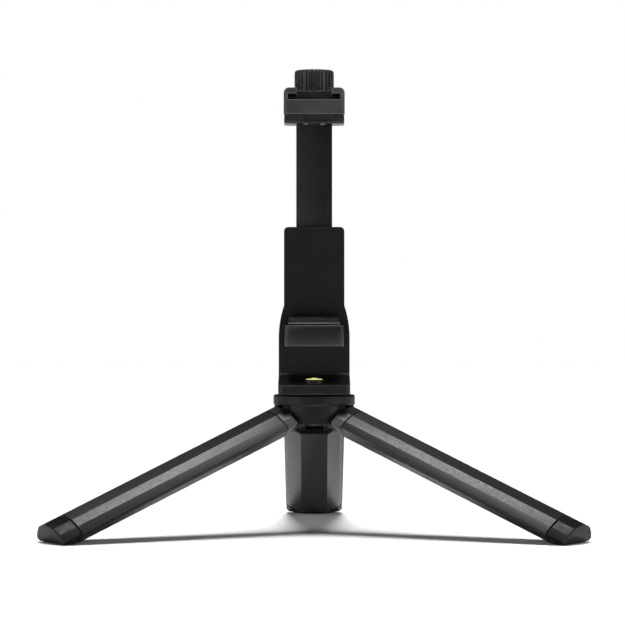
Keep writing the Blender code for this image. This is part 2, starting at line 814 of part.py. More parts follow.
def make_cover(swivel):
    """The cover that closes the column's back, with the boss that holds the lead nut."""
    plate = rounded_outline(
        COVER_BOTTOM, COVER_TOP, -COVER_HALF, COVER_HALF, (COVER_CORNER,) * 4
    )
    cover = prism("rear_cover", plate, COVER_INSIDE, BACK, swivel, PLASTIC, axis="Y")
    boss = box(
        "nut_boss",
        (-NUT_BOSS_HALF, POST_BACK - 0.1 * MM, NUT_BOTTOM),
        (NUT_BOSS_HALF, COVER_INSIDE + 0.5 * MM, NUT_TOP),
        swivel,
    )
    join(cover, boss)
    place = ((NUT_BOTTOM + NUT_TOP) / 2, 0)
    hole = rod(
        "nut_screw_hole",
        NUT_SCREW_SHANK + GAP,
        NUT_SCREW_TIP,
        BACK + MM,
        swivel,
        axis="Y",
        at=place,
        sides=SMALL_ROUND,
    )
    recess = rod(
        "nut_screw_recess",
        NUT_SCREW_HEAD + GAP,
        BACK - NUT_SCREW_RECESS,
        BACK + MM,
        swivel,
        axis="Y",
        at=place,
        sides=20,
    )
    cut(cover, hole, recess)
    for number, (x, z) in enumerate(cover_screw_places()):
        cut(
            cover,
            rod(
                f"cover_hole_{number}",
                COVER_SCREW_SHANK + GAP,
                COVER_INSIDE - MM,
                BACK + MM,
                swivel,
                axis="Y",
                at=(z, x),
                sides=12,
            ),
            rod(
                f"cover_hole_top_{number}",
                COVER_SCREW_HEAD + COVER_SCREW_PLAY,
                BACK - COVER_SCREW_RECESS,
                BACK + MM,
                swivel,
                axis="Y",
                at=(z, x),
                sides=SMALL_ROUND,
            ),
        )


def make_cover_screws(swivel):
    for number, place in enumerate(cover_screw_places(), 1):
        make_screw_y(
            f"cover_screw_{number}",
            place,
            COVER_SCREW_HEAD,
            COVER_SCREW_SHANK,
            swivel,
            (BACK - COVER_SCREW_RECESS + GAP, BACK),
            COVER_SCREW_TIP,
        )
    make_screw_y(
        "nut_screw",
        (0.0, (NUT_BOTTOM + NUT_TOP) / 2),
        NUT_SCREW_HEAD,
        NUT_SCREW_SHANK,
        swivel,
        (BACK - NUT_SCREW_RECESS + GAP, BACK),
        NUT_SCREW_TIP,
    )


def make_nut(swivel):
    """The brass nut that the lead screw runs in, held on the cover's boss."""
    nut = box(
        "lead_nut",
        (-POST_HALF + POST_WALL_X + GAP, POST_FRONT + POST_WALL_Y + GAP, NUT_BOTTOM),
        (POST_HALF - POST_WALL_X - GAP, POST_BACK - 0.4 * MM, NUT_TOP),
        swivel,
        BRASS,
    )
    thread = rod(
        "nut_thread", SCREW_RADIUS + GAP, NUT_BOTTOM - MM, NUT_TOP + MM, swivel, at=(0, SCREW_Y)
    )
    screw_thread = rod(
        "nut_screw_thread",
        NUT_SCREW_SHANK + GAP,
        NUT_SCREW_TIP - GAP,
        BACK,
        swivel,
        axis="Y",
        at=((NUT_BOTTOM + NUT_TOP) / 2, 0),
        sides=SMALL_ROUND,
    )
    cut(nut, thread, screw_thread)


def make_level(swivel):
    """The round spirit level: a ring let into the deck, and the vial in it."""
    bottom = DECK_FRONT + GAP
    profile = [
        (LEVEL_RADIUS + GAP, LEVEL_RING_TOP),
        (LEVEL_RING_RADIUS, LEVEL_RING_TOP),
        (LEVEL_RING_RADIUS, bottom),
        (LEVEL_RADIUS + GAP, bottom),
        (LEVEL_RADIUS + GAP, LEVEL_RING_TOP),
    ]
    turned("level_ring", profile, swivel, PLASTIC, at=(0, LEVEL_Y), sides=32)
    dome = [(share * LEVEL_RADIUS, LEVEL_TOP - drop) for share, drop in LEVEL_DOME]
    profile = dome + [(LEVEL_RADIUS, bottom + GAP), (0.0, bottom + GAP)]
    turned("level_vial", profile, swivel, VIAL, at=(0, LEVEL_Y), sides=32)


def make_insert(swivel):
    profile = [
        (STUD_RADIUS + GAP, INSERT_TOP),
        (INSERT_RADIUS, INSERT_TOP),
        (INSERT_RADIUS, BASE_BOTTOM + GAP),
        (STUD_RADIUS + GAP, BASE_BOTTOM + GAP),
        (STUD_RADIUS + GAP, INSERT_TOP),
    ]
    turned("thread_insert", profile, swivel, BRASS)


def make_lower_jaw(swivel):
    back = COLUMN_FRONT - GAP
    corners = (LOWER_JAW_CORNER, 0, 0, LOWER_JAW_CORNER)
    plan = rounded_outline(-LOWER_JAW_HALF, LOWER_JAW_HALF, JAW_FRONT, back, corners)
    jaw = prism("lower_jaw", plan, LOWER_JAW_BOTTOM, LOWER_JAW_TOP, swivel, PLASTIC)
    for number, x in enumerate(jaw_screw_places()):
        cut(
            jaw,
            rod(
                f"jaw_thread_{number}",
                JAW_SCREW_SHANK + GAP,
                JAW_SCREW_TIP - 0.5 * MM,
                COLUMN_FRONT + MM,
                swivel,
                axis="Y",
                at=(jaw_screw_height(), x),
                sides=SMALL_ROUND,
            ),
        )
    for number, x in enumerate(jaw_screw_places(), 1):
        make_screw_y(
            f"lower_jaw_screw_{number}",
            (x, jaw_screw_height()),
            JAW_SCREW_HEAD,
            JAW_SCREW_SHANK,
            swivel,
            (COLUMN_FRONT + JAW_SCREW_RECESS + GAP, CAVITY_FRONT - 0.1 * MM),
            JAW_SCREW_TIP,
        )
    outline = [
        (z, x) for x, z in comb_outline(LOWER_PAD_HALF, LOWER_JAW_TOP + GAP, LOWER_PAD_TOP)
    ]
    front = JAW_FRONT + LOWER_PAD_INSET
    prism("lower_pad", outline, front, back - LOWER_PAD_INSET, swivel, RUBBER, axis="Y")


# --- clamp: sliding jaw, post and screw ---------------------------------------------------------
def make_upper_jaw(slide):
    """The sliding jaw: a cold shoe on top of it, and a rear body that carries the knob and post."""
    corners = (SHOE_FOOT_CORNER, SHOE_LIP_CORNER, SHOE_LIP_CORNER, SHOE_FOOT_CORNER)
    front = rounded_outline(-SHOE_HALF, SHOE_HALF, SHOE_BOTTOM, SHOE_TOP, corners)
    block = prism(
        "upper_jaw",
        [(z, x) for x, z in front],
        JAW_FRONT,
        SHOE_REAR,
        slide,
        PLASTIC,
        axis="Y",
    )
    corners = (SHOE_FRONT_CORNER, 0, 0, SHOE_FRONT_CORNER)
    plan = rounded_outline(-SHOE_HALF, SHOE_HALF, JAW_FRONT, BACK, corners)
    sides = prism("shoe_plan", plan, SHOE_BOTTOM - MM, SHOE_TOP + MM, slide)
    boolean(block, sides, "INTERSECT")
    corners = (0, JAW_REAR_CORNER, JAW_REAR_CORNER, 0)
    rear_plan = rounded_outline(-SHOE_HALF, SHOE_HALF, UPPER_PAD_REAR + GAP, BACK, corners)
    rear = prism("jaw_rear", rear_plan, JAW_REAR_BOTTOM, SHOE_FLOOR, slide)
    join(block, rear)
    channel = box(
        "shoe_channel",
        (-SHOE_CHANNEL_HALF, JAW_FRONT - MM, SHOE_FLOOR),
        (SHOE_CHANNEL_HALF, SHOE_STOP, SHOE_CHANNEL_TOP),
        slide,
    )
    mouth = box(
        "shoe_mouth",
        (-SHOE_GAP_HALF, JAW_FRONT - MM, SHOE_FLOOR + MM),
        (SHOE_GAP_HALF, SHOE_STOP, SHOE_TOP + MM),
        slide,
    )
    low, high = JAW_REAR_BOTTOM - MM, SHOE_FLOOR + MM
    hole = rod("screw_hole", SCREW_RADIUS + GAP, low, high, slide, at=(0, SCREW_Y))
    cut(block, channel, mouth, hole)
    for number, x in enumerate(post_screw_places()):
        place = (x, SCREW_Y)
        hole = rod(
            f"post_screw_hole_{number}", POST_SCREW_SHANK + GAP, low, high, slide, at=place, sides=12
        )
        recess = rod(
            f"post_screw_recess_{number}",
            POST_SCREW_HEAD + GAP,
            SHOE_FLOOR - POST_SCREW_RECESS,
            high,
            slide,
            at=place,
            sides=SMALL_ROUND,
        )
        cut(block, hole, recess)
    outline = [
        (z, x) for x, z in comb_outline(UPPER_PAD_HALF, SHOE_BOTTOM - GAP, UPPER_PAD_BOTTOM)
    ]
    front = JAW_FRONT + UPPER_PAD_INSET
    prism("upper_pad", outline, front, UPPER_PAD_REAR, slide, RUBBER, axis="Y")


def post_screw_places():
    return (-POST_SCREW_X, POST_SCREW_X)


def make_post(slide):
    """The post that slides in the column: a channel, open at the back, round the lead screw."""
    inner = POST_HALF - POST_WALL_X
    outline = [
        (-POST_HALF, POST_FRONT),
        (POST_HALF, POST_FRONT),
        (POST_HALF, POST_BACK),
        (inner, POST_BACK),
        (inner, POST_FRONT + POST_WALL_Y),
        (-inner, POST_FRONT + POST_WALL_Y),
        (-inner, POST_BACK),
        (-POST_HALF, POST_BACK),
    ]
    top = JAW_REAR_BOTTOM - GAP
    post = prism("slide_post", outline, POST_BOTTOM, top, slide, ALUMINIUM)
    for number, x in enumerate(post_screw_places(), 1):
        place = (x, SCREW_Y)
        tip = top - POST_SCREW_REACH
        thread = rod(
            f"post_thread_{number}",
            POST_SCREW_SHANK + GAP,
            tip - 0.5 * MM,
            top + MM,
            slide,
            at=place,
            sides=12,
        )
        cut(post, thread)
        name = f"post_screw_{number}"
        bottom = SHOE_FLOOR - POST_SCREW_RECESS + GAP
        screw = rod(
            name, POST_SCREW_HEAD, bottom, SHOE_FLOOR, slide, STEEL, at=place, sides=SMALL_ROUND
        )
        shank = rod(
            f"{name}_shank", POST_SCREW_SHANK, tip, bottom + GAP, slide, at=place, sides=12
        )
        join(screw, shank)


def make_knob(turn):
    """The fluted knob. Its rim runs in and out by a cosine."""
    steps = 4 * KNOB_FLUTES
    built = bmesh.new()
    bmesh.ops.create_cone(
        built,
        cap_ends=True,
        segments=steps,
        radius1=KNOB_RADIUS,
        radius2=KNOB_RADIUS,
        depth=KNOB_TOP - KNOB_BOTTOM,
    )
    for vert in built.verts:
        angle = math.atan2(vert.co.y, vert.co.x)
        depth = FLUTE_DEPTH * (0.5 - 0.5 * math.cos(KNOB_FLUTES * angle))
        vert.co.xy = vert.co.xy.normalized() * (KNOB_RADIUS - depth)
    bmesh.ops.translate(
        built, vec=(0, 0, (KNOB_TOP + KNOB_BOTTOM) / 2), verts=built.verts
    )
    knob = finish_mesh("knob", built, turn, PLASTIC)
    round_edges(knob, 0.6 * MM, 1, 60)
    cut(knob, rod("knob_bore", SCREW_RADIUS + GAP, KNOB_BOTTOM - MM, SCREW_TOP + GAP, turn))


def make_screw(turn):
    """The lead screw, with the groove that its retaining clip sits in."""
    groove = SCREW_RADIUS - CLIP_GROOVE
    groove_top = CLIP_BOTTOM + CLIP_HEIGHT + CLIP_PLAY
    groove_bottom = CLIP_BOTTOM - CLIP_PLAY
    profile = [
        (0.0, SCREW_TOP),
        (SCREW_RADIUS, SCREW_TOP),
        (SCREW_RADIUS, groove_top),
        (groove, groove_top),
        (groove, groove_bottom),
        (SCREW_RADIUS, groove_bottom),
        (SCREW_RADIUS, SCREW_BOTTOM + SCREW_CHAMFER),
        (SCREW_RADIUS - SCREW_CHAMFER, SCREW_BOTTOM),
        (0.0, SCREW_BOTTOM),
    ]
    turned("lead_screw", profile, turn, STEEL, sides=24)
    clip = [
        (groove + GAP, CLIP_BOTTOM + CLIP_HEIGHT),
        (CLIP_RADIUS, CLIP_BOTTOM + CLIP_HEIGHT),
        (CLIP_RADIUS, CLIP_BOTTOM),
        (groove + GAP, CLIP_BOTTOM),
        (groove + GAP, CLIP_BOTTOM + CLIP_HEIGHT),
    ]
    turned("retaining_clip", clip, turn, STEEL, sides=24)
    washer = [
        (SCREW_RADIUS + GAP, KNOB_BOTTOM - GAP),
        (WASHER_RADIUS, KNOB_BOTTOM - GAP),
        (WASHER_RADIUS, SHOE_FLOOR + GAP),
        (SCREW_RADIUS + GAP, SHOE_FLOOR + GAP),
        (SCREW_RADIUS + GAP, KNOB_BOTTOM - GAP),
    ]
    turned("knob_washer", washer, turn, BRASS, sides=24)


def make_clamp(axis):
    swivel = make_frame("clamp_swivel_frame", axis, (0, 0, 0))
    make_clamp_body(swivel)
    make_cover(swivel)
    make_cover_screws(swivel)
    make_nut(swivel)
    make_level(swivel)
    make_insert(swivel)
    make_lower_jaw(swivel)
    slide = make_frame("jaw_slide_frame", swivel, (0, 0, 0))
    make_upper_jaw(slide)
    make_post(slide)
    turn = make_frame("knob_frame", slide, (0, SCREW_Y, 0))
    make_knob(turn)
    make_screw(turn)


def main():
    axis = make_frame("tripod_axis", None, (0, AXIS_Y, 0))
    make_hub(axis)
    make_head(axis)
    for side, azimuth in LEG_AZIMUTHS.items():
        make_leg(side, azimuth, axis)
    make_clamp(axis)


main()
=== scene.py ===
import json
import math

import bmesh
import bpy
from mathutils import Matrix, Vector


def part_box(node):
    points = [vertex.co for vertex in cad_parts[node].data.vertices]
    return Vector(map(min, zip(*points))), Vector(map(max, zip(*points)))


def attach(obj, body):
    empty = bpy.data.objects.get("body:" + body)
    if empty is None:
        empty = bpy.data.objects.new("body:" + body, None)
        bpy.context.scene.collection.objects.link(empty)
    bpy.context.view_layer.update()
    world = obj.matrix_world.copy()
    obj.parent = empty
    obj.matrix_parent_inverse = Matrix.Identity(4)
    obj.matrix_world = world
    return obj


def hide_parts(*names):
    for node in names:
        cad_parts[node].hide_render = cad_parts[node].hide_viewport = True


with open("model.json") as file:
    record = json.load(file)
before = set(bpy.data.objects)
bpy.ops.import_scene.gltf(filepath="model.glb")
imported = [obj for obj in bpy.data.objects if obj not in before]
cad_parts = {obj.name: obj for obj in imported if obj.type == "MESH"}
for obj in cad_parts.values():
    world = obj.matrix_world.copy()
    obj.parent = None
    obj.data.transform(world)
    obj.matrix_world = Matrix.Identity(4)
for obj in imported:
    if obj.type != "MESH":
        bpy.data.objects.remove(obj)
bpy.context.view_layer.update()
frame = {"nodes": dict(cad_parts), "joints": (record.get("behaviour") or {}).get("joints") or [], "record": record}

MM = 0.001
INCH = 25.4 * MM
NODES = frame["nodes"]
JOINTS = {joint["name"]: joint for joint in frame["joints"]}
AXIS_Y = JOINTS["clamp_swivel"]["pos_m"][1]  # the tripod's own axis is at X = 0 and this Y
SIDES = ("left", "right", "rear")


# --- node trees ---------------------------------------------------------------------------------
ROUNDED_SAMPLES = 8
EDGE_SAMPLES = 6
EDGE_FAINT = 0.995  # cosine between the rounded and the true normal, where an edge begins to show
EDGE_FULL = 0.92  # and where it shows fully


def grey(shade):
    return (shade,) * 3


class Tree:
    """A material's node tree, with short calls for the nodes that the materials share."""

    def __init__(self, name, colour, roughness, metallic=0.0):
        self.material = bpy.data.materials.new(name)
        self.material.use_nodes = True
        self.nodes = self.material.node_tree.nodes
        self.links = self.material.node_tree.links
        self.shader = self.nodes["Principled BSDF"]
        self.place = self.nodes.new("ShaderNodeTexCoord").outputs["Object"]
        self.set("Base Color", (*colour, 1))
        self.set("Roughness", roughness)
        self.set("Metallic", metallic)

    def set(self, socket, value):
        self.shader.inputs[socket].default_value = value

    def link(self, output, target):
        self.links.new(output, target)

    def noise(self, scale, detail, stretch=(1, 1, 1)):
        """Noise with features of about 1 / scale metres, squeezed along each axis by stretch."""
        mapping = self.nodes.new("ShaderNodeMapping")
        mapping.inputs["Scale"].default_value = stretch
        self.link(self.place, mapping.inputs["Vector"])
        texture = self.nodes.new("ShaderNodeTexNoise")
        texture.inputs["Scale"].default_value = scale
        texture.inputs["Detail"].default_value = detail
        self.link(mapping.outputs["Vector"], texture.inputs["Vector"])
        return texture.outputs["Fac"]

    def cells(self, scale):
        texture = self.nodes.new("ShaderNodeTexVoronoi")
        texture.inputs["Scale"].default_value = scale
        self.link(self.place, texture.inputs["Vector"])
        return texture.outputs["Distance"]

    def spread(self, value, low, high, to_low, to_high):
        """value mapped from low..high to to_low..to_high, and held there outside it."""
        node = self.nodes.new("ShaderNodeMapRange")
        node.inputs["From Min"].default_value = low
        node.inputs["From Max"].default_value = high
        node.inputs["To Min"].default_value = to_low
        node.inputs["To Max"].default_value = to_high
        self.link(value, node.inputs["Value"])
        return node.outputs["Result"]

    def patches(self, scale, detail, least, most, band=(0.3, 0.7)):
        """Soft patches from least to most: noise, spread from the band of values that it fills."""
        return self.spread(self.noise(scale, detail), *band, least, most)

    def product(self, first, second):
        """first times second; second is an output or a number."""
        node = self.nodes.new("ShaderNodeMath")
        node.operation = "MULTIPLY"
        self.link(first, node.inputs[0])
        if isinstance(second, (int, float)):
            node.inputs[1].default_value = second
        else:
            self.link(second, node.inputs[1])
        return node.outputs["Value"]

    def mix(self, factor, first, second):
        """A colour between two colours, each a tuple or an output."""
        node = self.nodes.new("ShaderNodeMix")
        node.data_type = "RGBA"
        self.link(factor, node.inputs["Factor"])
        for socket, value in ((node.inputs[6], first), (node.inputs[7], second)):
            if isinstance(value, tuple):
                socket.default_value = (*value, 1)
            else:
                self.link(value, socket)
        return node.outputs[2]

    def edges(self, radius):
        """1 along the piece's sharp edges, fading to 0 at radius from them."""
        rounded = self.nodes.new("ShaderNodeBevel")
        rounded.samples = EDGE_SAMPLES
        rounded.inputs["Radius"].default_value = radius
        geometry = self.nodes.new("ShaderNodeNewGeometry")
        dot = self.nodes.new("ShaderNodeVectorMath")
        dot.operation = "DOT_PRODUCT"
        self.link(rounded.outputs["Normal"], dot.inputs[0])
        self.link(geometry.outputs["True Normal"], dot.inputs[1])
        return self.spread(dot.outputs["Value"], EDGE_FAINT, EDGE_FULL, 0.0, 1.0)

    def rounded(self, radius):
        """The normal of the piece with its edges rounded."""
        node = self.nodes.new("ShaderNodeBevel")
        node.samples = ROUNDED_SAMPLES
        node.inputs["Radius"].default_value = radius
        return node.outputs["Normal"]

    def colour(self, output):
        self.link(output, self.shader.inputs["Base Color"])

    def rough(self, output):
        self.link(output, self.shader.inputs["Roughness"])

    def bump(self, height, distance, strength, under=None):
        """Bumps on the surface, on top of the normal in under; returns the bumpy normal."""
        node = self.nodes.new("ShaderNodeBump")
        node.inputs["Distance"].default_value = distance
        node.inputs["Strength"].default_value = strength
        self.link(height, node.inputs["Height"])
        if under:
            self.link(under, node.inputs["Normal"])
        self.link(node.outputs["Normal"], self.shader.inputs["Normal"])
        return node.outputs["Normal"]


# --- materials ----------------------------------------------------------------------------------
MOULDED_EDGE = 0.35 * MM  # radius of a moulded edge, in the material only
ALUMINIUM_WEAR = 0.3 * MM


def moulded_plastic(
    name, shade, edge_tone, roughness=0.38, metallic=0.0, wear_and_highlight_width=0.6 * MM, specular=0.25
):
    """Black plastic with a fine eroded mould texture, paler along its edges: partly wear and partly painted
    highlight.
    """
    tree = Tree(name, grey(shade), roughness, metallic)
    cloudy = tree.patches(scale=90, detail=4, least=0, most=1, band=(0.35, 0.65))
    base = tree.mix(cloudy, grey(shade * 0.85), grey(shade * 1.2))
    edge_patches = tree.patches(scale=700, detail=3, least=0.6, most=1, band=(0.3, 0.6))
    # the mask of the paler edges: partly wear, partly painted highlight along the edges
    paler_edges = tree.product(tree.edges(wear_and_highlight_width), edge_patches)
    tree.colour(tree.mix(paler_edges, base, grey(edge_tone)))
    tree.rough(tree.patches(420, 3, least=roughness - 0.06, most=roughness + 0.08))
    grain = tree.noise(scale=5200, detail=2)
    grained = tree.bump(grain, 0.03 * MM, strength=0.5, under=tree.rounded(MOULDED_EDGE))
    tree.bump(tree.cells(scale=2600), 0.02 * MM, strength=0.35, under=grained)
    tree.set("Specular IOR Level", specular)
    return tree.material


def blasted_aluminium(name, shade, edge_tone):
    """Bead-blasted aluminium, anodised black."""
    tree = Tree(name, grey(shade), roughness=0.42, metallic=0.85)
    speck = tree.patches(scale=3400, detail=2, least=0.78, most=1.22)
    cloudy = tree.patches(scale=60, detail=3, least=0.92, most=1.08)
    level = tree.product(tree.product(speck, cloudy), shade)
    base = tree.nodes.new("ShaderNodeCombineColor")
    for channel in base.inputs:
        tree.link(level, channel)
    edges = tree.edges(ALUMINIUM_WEAR)
    edge_patches = tree.patches(scale=500, detail=3, least=0.1, most=0.8, band=(0.4, 0.7))
    paler_edges = tree.product(edges, edge_patches)
    tree.colour(tree.mix(paler_edges, base.outputs["Color"], grey(edge_tone)))
    tree.rough(tree.patches(scale=1500, detail=2, least=0.36, most=0.5))
    tree.bump(tree.noise(scale=4300, detail=2), 0.03 * MM, strength=0.6)
    return tree.material


def soft_rubber(name):
    """Matt black rubber, a little dusty."""
    tree = Tree(name, grey(0.012), roughness=0.8)
    dusty = tree.patches(scale=250, detail=4, least=0, most=1, band=(0.4, 0.75))
    tree.colour(tree.mix(dusty, (0.010, 0.010, 0.010), (0.028, 0.028, 0.027)))
    tree.rough(tree.patches(scale=900, detail=2, least=0.7, most=0.9))
    tree.bump(tree.noise(scale=3000, detail=3), 0.04 * MM, strength=0.6)
    tree.set("Specular IOR Level", 0.2)
    return tree.material


def machined_metal(name, colour, roughness):
    """Turned metal: fine rings round +Z, and a few darker stains."""
    tree = Tree(name, colour, roughness, metallic=1.0)
    stained = tuple(channel * 0.6 for channel in colour)
    stains = tree.patches(scale=500, detail=4, least=0, most=0.6, band=(0.45, 0.75))
    tree.colour(tree.mix(stains, colour, stained))
    tree.rough(tree.patches(1400, 3, least=roughness - 0.06, most=roughness + 0.14))
    rings = tree.noise(scale=900, detail=2, stretch=(0.2, 0.2, 9))
    tree.bump(rings, 0.02 * MM, strength=0.4)
    return tree.material


def vial_fluid(name):
    """The level's fluid. It glows a little, because the jaw above it shades it."""
    tree = Tree(name, (0.62, 0.74, 0.05), roughness=0.12)
    cloudy = tree.patches(scale=500, detail=2, least=0, most=1)
    tree.colour(tree.mix(cloudy, (0.66, 0.78, 0.06), (0.78, 0.80, 0.12)))
    tree.rough(tree.patches(scale=900, detail=2, least=0.08, most=0.16))
    tree.set("Coat Weight", 1.0)
    tree.set("Coat Roughness", 0.04)
    tree.set("Emission Color", (0.80, 0.85, 0.22, 1))
    tree.set("Emission Strength", 0.8)
    return tree.material


def vial_bubble(name):
    """The bubble: paler than the fluid, and glossy. It glows for the same reason."""
    tree = Tree(name, (0.9, 0.92, 0.62), roughness=0.06)
    cloudy = tree.patches(scale=700, detail=2, least=0, most=1)
    tree.colour(tree.mix(cloudy, (0.88, 0.9, 0.55), (0.95, 0.95, 0.75)))
    tree.rough(tree.patches(scale=900, detail=2, least=0.04, most=0.1))
    tree.set("Coat Weight", 1.0)
    tree.set("Emission Color", (0.9, 0.95, 0.6, 1))
    tree.set("Emission Strength", 0.9)
    return tree.material


# The paler colour along the edges of these plastics is partly wear and partly painted highlight; on the jaw, the
# shoe and the knob it is raised for the highlights on their rounded edges and flutes.
PLASTIC = moulded_plastic("moulded_black", 0.004, edge_tone=0.045)
# painted shade: a darker, duller copy of the moulded plastic for the hub, so that it stays dark under the clamp in
# spite of the floor's bounce light
HUB_SHADE_PLASTIC = moulded_plastic("hub_shade_black", 0.0025, edge_tone=0.035, roughness=0.45)
COLLAR_PLASTIC = moulded_plastic(
    "collar_black", 0.042, edge_tone=0.13, metallic=0.85, wear_and_highlight_width=0.3 * MM
)
# painted shade: a near-black, dull copy of the moulded plastic, for the rear collar alone
REAR_SHADE_PLASTIC = moulded_plastic("rear_shade_black", 0.001, edge_tone=0.008, roughness=0.6, specular=0.08)
CAP_PLASTIC = moulded_plastic("cap_black", 0.004, edge_tone=0.04, roughness=0.40, specular=0.1)
JAW_PLASTIC = moulded_plastic("jaw_black", 0.009, edge_tone=0.085, wear_and_highlight_width=1.0 * MM)
SHOE_PLASTIC = moulded_plastic("shoe_black", 0.038, edge_tone=0.12, wear_and_highlight_width=0.7 * MM)
KNOB_PLASTIC = moulded_plastic("knob_black", 0.007, edge_tone=0.13, roughness=0.27)
ALUMINIUM = blasted_aluminium("anodised_black", 0.032, edge_tone=0.10)
RUBBER = soft_rubber("black_rubber")
STEEL = machined_metal("zinc_steel", (0.42, 0.42, 0.44), roughness=0.3)
DARK_STEEL = machined_metal("black_steel", (0.07, 0.07, 0.075), roughness=0.34)
BRASS = machined_metal("brass", (0.58, 0.42, 0.18), roughness=0.28)
FLUID = vial_fluid("level_fluid")
BUBBLE = vial_bubble("level_bubble")
BY_SLOT = {
    "black_plastic": PLASTIC,
    "black_aluminium": ALUMINIUM,
    "black_rubber": RUBBER,
    "steel": STEEL,
    "brass": BRASS,
    "level_vial": FLUID,
}


# --- finishing the CAD nodes --------------------------------------------------------------------
# angles in degrees between two faces: edges sharper than the first two are rounded
PLAIN_EDGE = 28
FACET_EDGE = 8  # low enough for the edges between a leg's facets
SAME_FLAT = 0.6  # faces closer than this are one flat face
SAME_POINT = 1e-6
ROUND_SEGMENTS = 3
JAW_EDGE = 0.35 * MM
TUBE_EDGE = 0.12 * MM
CAP_EDGE = 0.15 * MM
SOLE_EDGE = 0.12 * MM
SLIDER_EDGE = 0.2 * MM


def set_material(thing, material):
    thing.data.materials.clear()
    thing.data.materials.append(material)


def soften(thing, width, angle=PLAIN_EDGE):
    """Rounds a CAD node's edges: the flat faces are joined up first, then bevelled."""
    weld = thing.modifiers.new("weld", "WELD")
    weld.merge_threshold = SAME_POINT
    flats = thing.modifiers.new("flats", "DECIMATE")
    flats.decimate_type = "DISSOLVE"
    flats.angle_limit = math.radians(SAME_FLAT)
    bevel = thing.modifiers.new("bevel", "BEVEL")
    bevel.width = width
    bevel.segments = ROUND_SEGMENTS
    bevel.limit_method = "ANGLE"
    bevel.angle_limit = math.radians(angle)
    bevel.harden_normals = True
    bevel.use_clamp_overlap = True
    thing.data.shade_smooth()


def finish_cad_nodes():
    slots = {part["node"]: part["material_slot"] for part in frame["record"]["subparts"]}
    for name, thing in NODES.items():
        set_material(thing, BY_SLOT[slots[name]])
    set_material(NODES["upper_jaw"], SHOE_PLASTIC)
    set_material(NODES["lower_jaw"], JAW_PLASTIC)
    set_material(NODES["hub_body"], HUB_SHADE_PLASTIC)
    soften(NODES["lower_jaw"], JAW_EDGE)
    for side in SIDES:
        set_material(NODES[f"leg_{side}_knuckle"], COLLAR_PLASTIC)
        soften(NODES[f"leg_{side}_tube"], TUBE_EDGE, FACET_EDGE)
        set_material(NODES[f"leg_{side}_foot_cap"], CAP_PLASTIC)
        soften(NODES[f"leg_{side}_foot_cap"], CAP_EDGE, FACET_EDGE)
        soften(NODES[f"leg_{side}_sole"], SOLE_EDGE)
    # blacker than the side collars, to match the black mouth under the hub in the photo
    # painted shade: the rear collar gets a blacker, duller plastic than the side collars, in place of the shade
    # under the hub
    set_material(NODES["leg_rear_knuckle"], REAR_SHADE_PLASTIC)
    for name in ("slide_post", "lead_nut"):
        soften(NODES[name], SLIDER_EDGE)


# --- building the detailed pieces ---------------------------------------------------------------
# angles in degrees between two faces: edges sharper than these are not shaded as smooth
SMOOTH_TURNED = 38
SMOOTH_THREAD = 50
SMOOTH_CRISP = 30
SMOOTH_BAR = 60
ROUND_SIDES = 48
SCREW_SIDES = 28
THREAD_STEPS = 7  # rings to one pitch
FLANK_SLOPE = 2.6  # a flank falls this many times the groove's depth over one pitch
CREST_FLAT = 0.25  # share of the depth that the flanks lose to the flat crest


def add_object(name, data):
    thing = bpy.data.objects.new(name, data)
    bpy.context.scene.collection.objects.link(thing)
    return thing


def add_mesh(name, built):
    """An object from a bmesh, which is freed."""
    mesh = bpy.data.meshes.new(name)
    built.to_mesh(mesh)
    built.free()
    return add_object(name, mesh)


def shade_smoothly(mesh, angle):
    mesh.shade_smooth()
    mesh.set_sharp_from_angle(angle=math.radians(angle))


def add_piece(name, built, material, body, nodes=(), smooth=SMOOTH_TURNED):
    """A finished piece from a bmesh in the frame's own coordinates; it stands for the CAD nodes."""
    piece = add_mesh(name, built)
    piece.data.materials.append(material)
    shade_smoothly(piece.data, smooth)
    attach(piece, body)
    if nodes:
        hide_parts(*nodes)
    return piece


def about_z(low, high):
    """The centre (x, y) and the radius of a round piece about +Z, from its box's corners."""
    centre = ((low.x + high.x) / 2, (low.y + high.y) / 2)
    return centre, (high.x - low.x) / 2


def skin_rings(built, rings, close=False):
    """Faces between rings of vertices with equal counts, and a cap at each end unless close."""
    pairs = list(zip(rings, rings[1:]))
    if close:
        pairs.append((rings[-1], rings[0]))
    for upper, lower in pairs:
        count = len(upper)
        for here in range(count):
            after = (here + 1) % count
            built.faces.new((upper[here], lower[here], lower[after], upper[after]))
    if not close:
        built.faces.new(rings[0])
        built.faces.new(list(reversed(rings[-1])))


def ring_at(built, height, radius_at, sides, centre=(0, 0)):
    """A ring of vertices; radius_at is its radius, or a function that gives it at an angle."""
    ring = []
    for step in range(sides):
        angle = 2 * math.pi * step / sides
        radius = radius_at(angle) if callable(radius_at) else radius_at
        x = centre[0] + radius * math.cos(angle)
        y = centre[1] + radius * math.sin(angle)
        ring.append(built.verts.new((x, y, height)))
    return ring


def round_rings(built, profile, sides, centre=(0, 0)):
    """Round rings from (radius, height) points, top to bottom."""
    return [ring_at(built, height, radius, sides, centre) for radius, height in profile]


def lathe(profile, centre, sides=ROUND_SIDES, close=False):
    """A turned solid about +Z from (radius, height) points, top to bottom."""
    built = bmesh.new()
    skin_rings(built, round_rings(built, profile, sides, centre), close)
    return built


